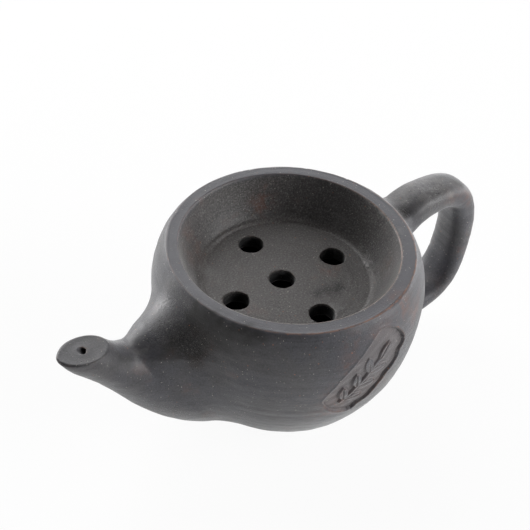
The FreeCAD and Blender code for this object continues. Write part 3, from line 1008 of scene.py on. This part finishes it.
def edgeMask(mesh, places):  # how convex the surface is at each vertex, in 1/mm
    pairs = readAll(mesh.edges, "vertices", int, 2).T
    normal = readAll(mesh.vertex_normals, "vector")
    total, count = np.zeros(len(places)), np.zeros(len(places))
    for here, there in (pairs, pairs[::-1]):
        leg = places[here] - places[there]
        bend = (leg * normal[here]).sum(1) / np.maximum((leg ** 2).sum(1), 0.01)
        np.add.at(total, here, bend)
        np.add.at(count, here, 1)
    curve = total / np.maximum(count, 1)
    for _ in range(2):  # smoothed over the neighbours
        blur = curve.copy()
        for here, there in (pairs, pairs[::-1]):
            np.add.at(blur, here, curve[there])
        curve = blur / (count + 1)
    return curve


def paintMasks(piece):
    places = readAll(piece.data.vertices, "co") / mm
    curve = edgeMask(piece.data, places)
    for name in spots:
        keepMask(piece.data, name, spotMask(places, name))
    keepMask(piece.data, "worn", smoothStep(0.10, 0.9, curve))
    # concave places, later darkened as painted shade in the recesses
    keepMask(piece.data, "hollow", smoothStep(0.06, 0.7, -curve))


# Clay, smoke-fired and burnished with a finger: near black and slightly blue outside, browner in the dish,
# with a dull sheen that turns silvery at a grazing angle, and fine sand that breaks the sheen up

clayColours = {
    "cool": "44444a",
    "warm": "494644",
    "ash": "54504e",
    "iron": "6b4334",  # red clay that the smoke has not quite covered
    # near black, for soot and for painted shade
    "soot": "181514",
    # pale, for rubbed clay and for painted sheen highlights
    "rubbed": "7d7b7a",
    "edge": "8e6b5a",  # worn edges show the raw orange-brown clay
    "rim": "515157",
    # paler: the stamp's floor is smoother clay, and also carries painted light for a floor that faces more
    # upward
    "stamp": "665f5f",
    "quartz": "c4bcb3",
    "grog": "a2694c",
    "pore": "1a1918",
    # near black, painted shade inside the draught holes
    "deep": "0d0c0c",
}

clayPatterns = {
    # name: (laid along, size in mm, detail, roughness)
    "cloud": ("place", 22.0, 3.0, 0.55),
    "faint": ("place", 9.0, 3.0, 0.60),
    "mottle": ("place", 4.5, 4.0, 0.60),
    "patch": ("place", 2.0, 3.0, 0.65),
    "grain": ("place", 0.55, 3.0, 0.65),
    "sand": ("place", 0.22, 2.0, 0.60),
    "brush": ("turned", 0.62, 4.0, 0.62),
    "stroke": ("turned", 2.2, 3.0, 0.60),
}

clayBody = {
    "mouthRadii": (35.4, 34.6),  # the dish's own colours start and are full at these radii
    "mouthHeights": (48.3, 49.0),  # and these heights
    "rimEdge": 38.85,  # worn edges: radius outside, and from the mouth's middle inside
    "mouthEdge": 34.95,
    "frontTurn": 1.1,  # they are worn most this far round, in radians
    "brushTurn": 1.9,  # brush lines change this much in one radian
    "breakUp": (("mottle", 0.5), ("patch", 0.5)),  # source, share
    "mottling": (("mottle", 0.26), ("grain", 0.56), ("sand", 0.40), ("brush", 0.26)),
    "mottlingRange": (0.57, 0.91, 0.58, 1.42),  # from, to, shade before, shade after
    "shadedLayers": 3,  # the mottling lies over the ground colour and this many layers
    "relief": (  # source, height in mm
        ("grain", 0.075), ("sand", 0.035), ("brush", 0.036), ("stroke", 0.09), ("mottle", 0.10),
        ("quartz", 0.03), ("pore", -0.12), ("pits", -0.28),
    ),
    "ior": 1.5,
    "roughness": 0.39,
    "roughening": (("sand", 0.16), ("soot", 0.12), ("rubbed", -0.10)),
    "sheen": (0.50, 0.42),  # weight and roughness
}

clayLayers = (
    # colour, then the things that it depends on: (source, from, to, level before, level after),
    # where both pairs are 0 to 1 when they aren't given
    ("warm", ("cloud", 0.42, 0.66, 0.0, 0.45)),
    ("warm", ("inMouth", 0.0, 1.0, 0.0, 0.8)),
    ("ash", ("inMouth",), ("height", 51.5, 49.8, 0.0, 0.7)),
    ("rim", ("height", 63.45, 63.75), ("radius", 34.2, 35.6), ("mottle", 0.25, 0.75, 0.6, 1.0)),
    ("edge", ("offEdge", 0.40, 0.05, 0.0, 0.75), ("height", 63.2, 63.6),
     ("patch", 0.34, 0.56, 0.15, 1.0), ("frontRight", -0.2, 0.9, 0.15, 1.0)),
    ("edge", ("offMouth", 0.34, 0.05, 0.0, 0.55), ("height", 63.0, 63.5),
     ("patch", 0.34, 0.56, 0.2, 1.0), ("frontRight", -0.4, 0.9, 0.2, 1.0)),
    ("iron", ("ironTint", 0.0, 1.0, 0.0, 0.70), ("breakUp", 0.40, 0.60)),
    ("iron", ("faint", 0.60, 0.74, 0.0, 0.20)),
    # rubbed places, and painted sheen highlights on the spout, the shoulder and the handle's top
    ("rubbed", ("rubbed", 0.0, 1.0, 0.0, 0.60), ("breakUp", 0.38, 0.60, 0.25, 1.0)),
    ("rubbed", ("rubbed", 0.0, 1.0, 0.0, 0.9), ("inMouth",), ("brush", 0.48, 0.62)),
    # soot marks, and painted shade in the spout's crease, under the rim's front-left edge and at the
    # handle's root
    ("soot", ("soot", 0.0, 1.0, 0.0, 0.95), ("breakUp", 0.26, 0.56, 0.55, 1.0)),
    # the pressed floor is paler: smoother clay, and painted light
    ("stamp", ("pressed", 0.25, 0.6, 0.0, 0.6)),
    ("edge", ("worn", 0.0, 1.0, 0.0, 0.55), ("patch", 0.38, 0.60, 0.1, 1.0)),
    # painted shade in the concave places
    ("soot", ("hollow", 0.0, 1.0, 0.0, 0.4)),
    ("rubbed", ("inMouth",), ("grain", 0.50, 0.68, 0.0, 0.6)),
    ("soot", ("inMouth",), ("grain", 0.46, 0.30, 0.0, 0.45)),
    ("rubbed", ("pitted",), ("grain", 0.52, 0.68, 0.0, 0.7)),
    ("soot", ("pitted",), ("grain", 0.47, 0.36, 0.0, 0.9)),
    # painted shade: the walls of the draught holes, under the dish's floor, are painted near black
    ("deep", ("radius", 28.0, 27.4, 0.0, 0.92), ("height", 43.0, 44.0), ("height", 49.1, 48.3)),
)

claySpecks = (
    # colour, spacing in mm, share of places that have one, smallest and largest radius in mm
    ("quartz", 0.88, 0.42, 0.05, 0.19),
    ("grog", 2.0, 0.32, 0.08, 0.26),
    ("pore", 1.5, 0.40, 0.06, 0.24),
)


def makeClay():
    material = bpy.data.materials.new("smoke-fired clay")
    add = partial(addNode, emptyTree(material))

    metres = add("TexCoord").outputs["Object"]
    place = add("VectorMath", {0: metres, "Scale": 1 / mm}, "SCALE")
    parts = add("SeparateXYZ", [place]).outputs
    level = add("VectorMath", (place, (1, 1, 0)), "MULTIPLY")
    radius = add("VectorMath", [level], "LENGTH").outputs["Value"]
    angle = add("Math", (parts[1], parts[0]), "ARCTAN2")
    # brush and finger lines run round the axis, so they change with radius and height most
    slowTurn = add("Math", (angle, clayBody["brushTurn"]), "MULTIPLY")
    turned = add("CombineXYZ", (radius, parts[2], slowTurn))

    sources = {"height": parts[2], "radius": radius}
    for name in (*spots, "pressed", "worn", "hollow"):
        sources[name] = add("Attribute", attribute_name=name).outputs["Fac"]
    for name, (along, size, detail, roughness) in clayPatterns.items():
        sources[name] = add("TexNoise", {
            "Vector": turned if along == "turned" else place,
            "Scale": 1 / size, "Detail": detail, "Roughness": roughness,
        })
    mouth = add("MapRange", (radius, *clayBody["mouthRadii"]))
    sources["inMouth"] = add("MapRange", (parts[2], *clayBody["mouthHeights"], 0.0, mouth))
    toMiddle = add("VectorMath", (level, (*dish["mouthShift"], 0)), "DISTANCE").outputs["Value"]
    for name, out, edge in (("offEdge", radius, "rimEdge"), ("offMouth", toMiddle, "mouthEdge")):
        off = add("Math", (out, clayBody[edge]), "SUBTRACT")
        sources[name] = add("Math", [off], "ABSOLUTE")
    toFront = add("Math", (angle, clayBody["frontTurn"]), "ADD")
    sources["frontRight"] = add("Math", [toFront], "COSINE")

    def summed(total, shares):
        for name, share in shares:
            total = add("Math", (sources[name], share, total), "MULTIPLY_ADD")
        return total

    sources["breakUp"] = summed(0.0, clayBody["breakUp"])
    coats = []
    for colour, *causes in clayLayers:
        share = 1.0
        for source, *levels in causes:
            cause = add("MapRange", (sources[source], *levels), interpolation_type="SMOOTHSTEP")
            share = add("Math", (share, cause), "MULTIPLY")
        coats.append((colour, share))

    # grains of quartz and grog, and open pores
    wobble = add("TexNoise", {"Vector": place, "Scale": 3.0, "Detail": 1.0}).outputs["Color"]
    for colour, spacing, share, least, most in claySpecks:
        start = add("VectorMath", (place, (31 * spacing, 17, 0)), "ADD")
        shaken = add("VectorMath", (wobble, (0.35, 0.35, 0.35), start), "MULTIPLY_ADD")
        cells = add("TexVoronoi", {"Vector": shaken, "Scale": 1 / spacing}).outputs
        dice = add("SeparateXYZ", [cells["Color"]]).outputs
        size = add("MapRange", (dice[0], 1 - share, 1.0, least / spacing, most / spacing))
        inside = add("Math", (size, cells["Distance"]), "SUBTRACT")
        speck = add("MapRange", (inside, 0.0, 0.06 / spacing))
        present = add("Math", (dice[0], 1 - share), "GREATER_THAN")
        strength = add("MapRange", (dice[1], 0.0, 1.0, 0.35, 0.95))
        for factor in (present, strength):
            speck = add("Math", (speck, factor), "MULTIPLY")
        coats.append((colour, speck))
        sources[colour] = speck

    shading = add("MapRange", (summed(0.0, clayBody["mottling"]), *clayBody["mottlingRange"]))
    tone = hexColour(clayColours["cool"])
    for number, (colour, share) in enumerate(coats):
        if number == clayBody["shadedLayers"]:
            tone = add("VectorMath", {0: tone, "Scale": shading}, "SCALE")
        inputs = {0: share, 6: tone, 7: hexColour(clayColours[colour])}
        tone = add("Mix", inputs, data_type="RGBA").outputs[2]

    # pits where the clay is rough
    pit = add("MapRange", (sources["grain"], 0.44, 0.34), interpolation_type="SMOOTHSTEP")
    sources["pits"] = add("Math", (pit, sources["pitted"]), "MULTIPLY")
    relief = summed(0.0, clayBody["relief"])
    sheenWeight, sheenRoughness = clayBody["sheen"]
    shader = add("BsdfPrincipled", {
        "Base Color": tone, "Roughness": summed(clayBody["roughness"], clayBody["roughening"]),
        "Normal": add("Bump", {"Strength": 1.0, "Distance": mm, "Height": relief}),
        "IOR": clayBody["ior"], "Sheen Weight": sheenWeight, "Sheen Roughness": sheenRoughness,
    })
    add("OutputMaterial", [shader])
    return material


smokedClay = makeClay()
pierce(piercedDish, smokedClay)
print("holes pierced:", len(piercedDish.data.polygons), "faces")

for piece, node in (
    (vesselWall, "body_shell"), (pouringSpout, "spout"), (strapHandle, "handle"), (piercedDish, "dish"),
):
    paintMasks(piece)
    piece.data.materials.clear()
    piece.data.materials.append(smokedClay)
    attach(piece, "root")
    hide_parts(node)

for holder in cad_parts["stem_socket"].material_slots:
    holder.material = smokedClay
print("clay put on")

# Floor and light

studio = {
    "floorColour": "f4f4f4",
    "floorSize": 4.0,
    "floorWhite": 0.94,  # share of the floor that is plain white where it is seen
    "worldLevel": 0.03,
    "backdropTop": 0.20,  # the white backdrop ends at this sine of the height
    "lamps": (
        # name, place, width, height, power
        ("back left soft box", (-0.24, 0.93, 0.22), 0.5, 0.35, 5.8),
        ("back soft box", (0.05, 0.95, 0.60), 0.8, 0.5, 3.5),
        ("high back soft box", (0.12, 0.62, 0.88), 0.5, 0.5, 3.2),
        ("back right soft box", (0.62, 0.68, 0.38), 0.5, 0.4, 1.6),
        ("left soft box", (-0.90, 0.20, 0.35), 0.5, 0.5, 0.5),
        ("right soft box", (0.92, -0.05, 0.14), 0.5, 0.24, 2.8),
        ("front soft box", (0.60, -0.70, 0.40), 0.6, 0.6, 8.0),
    ),
}


def seenShare(add):  # 1 for rays from the eye and for what shines or lets light through
    rays = add("LightPath").outputs
    either = add("Math", (rays["Is Camera Ray"], rays["Is Glossy Ray"]), "MAXIMUM")
    return add("Math", (either, rays["Is Transmission Ray"]), "MAXIMUM")


def makeFloor():
    half = studio["floorSize"] / 2
    mesh = bpy.data.meshes.new("floor")
    corners = [(-half, -half, 0), (half, -half, 0), (half, half, 0), (-half, half, 0)]
    mesh.from_pydata(corners, [], [(0, 1, 2, 3)])
    material = bpy.data.materials.new("white paper sweep")
    add = partial(addNode, emptyTree(material))
    paper = add("BsdfDiffuse", [hexColour(studio["floorColour"])])
    white = add("Emission", ((1, 1, 1, 1), 1.0))
    share = add("Math", (seenShare(add), studio["floorWhite"]), "MULTIPLY")
    both = add("MixShader", (share, paper, white))
    add("OutputMaterial", [both])
    mesh.materials.append(material)
    floor = placeObject("floor", mesh)


def makeWorld():
    world = bpy.data.worlds.new("studio")
    bpy.context.scene.world = world
    add = partial(addNode, emptyTree(world))
    way = add("SeparateXYZ", [add("TexCoord").outputs["Generated"]]).outputs
    backdrop = add("MapRange", (way["Z"], studio["backdropTop"], studio["backdropTop"] / 2))
    share = add("Math", (seenShare(add), backdrop), "MULTIPLY")
    level = add("MapRange", (share, 0.0, 1.0, studio["worldLevel"], 1.0))
    add("OutputWorld", [add("Background", ((1, 1, 1, 1), level))])


makeFloor()
makeWorld()
for name, place, width, height, power in studio["lamps"]:
    lamp = bpy.data.lights.new(name, "AREA")
    lamp.shape = "RECTANGLE"
    lamp.size = width
    lamp.size_y = height
    lamp.energy = power
    lampObject = placeObject(name, lamp)
    lampObject.location = place
    lampObject.rotation_euler = Vector(place).to_track_quat("Z", "Y").to_euler()
bpy.context.scene.view_settings.view_transform = "Standard"
print("studio ready")
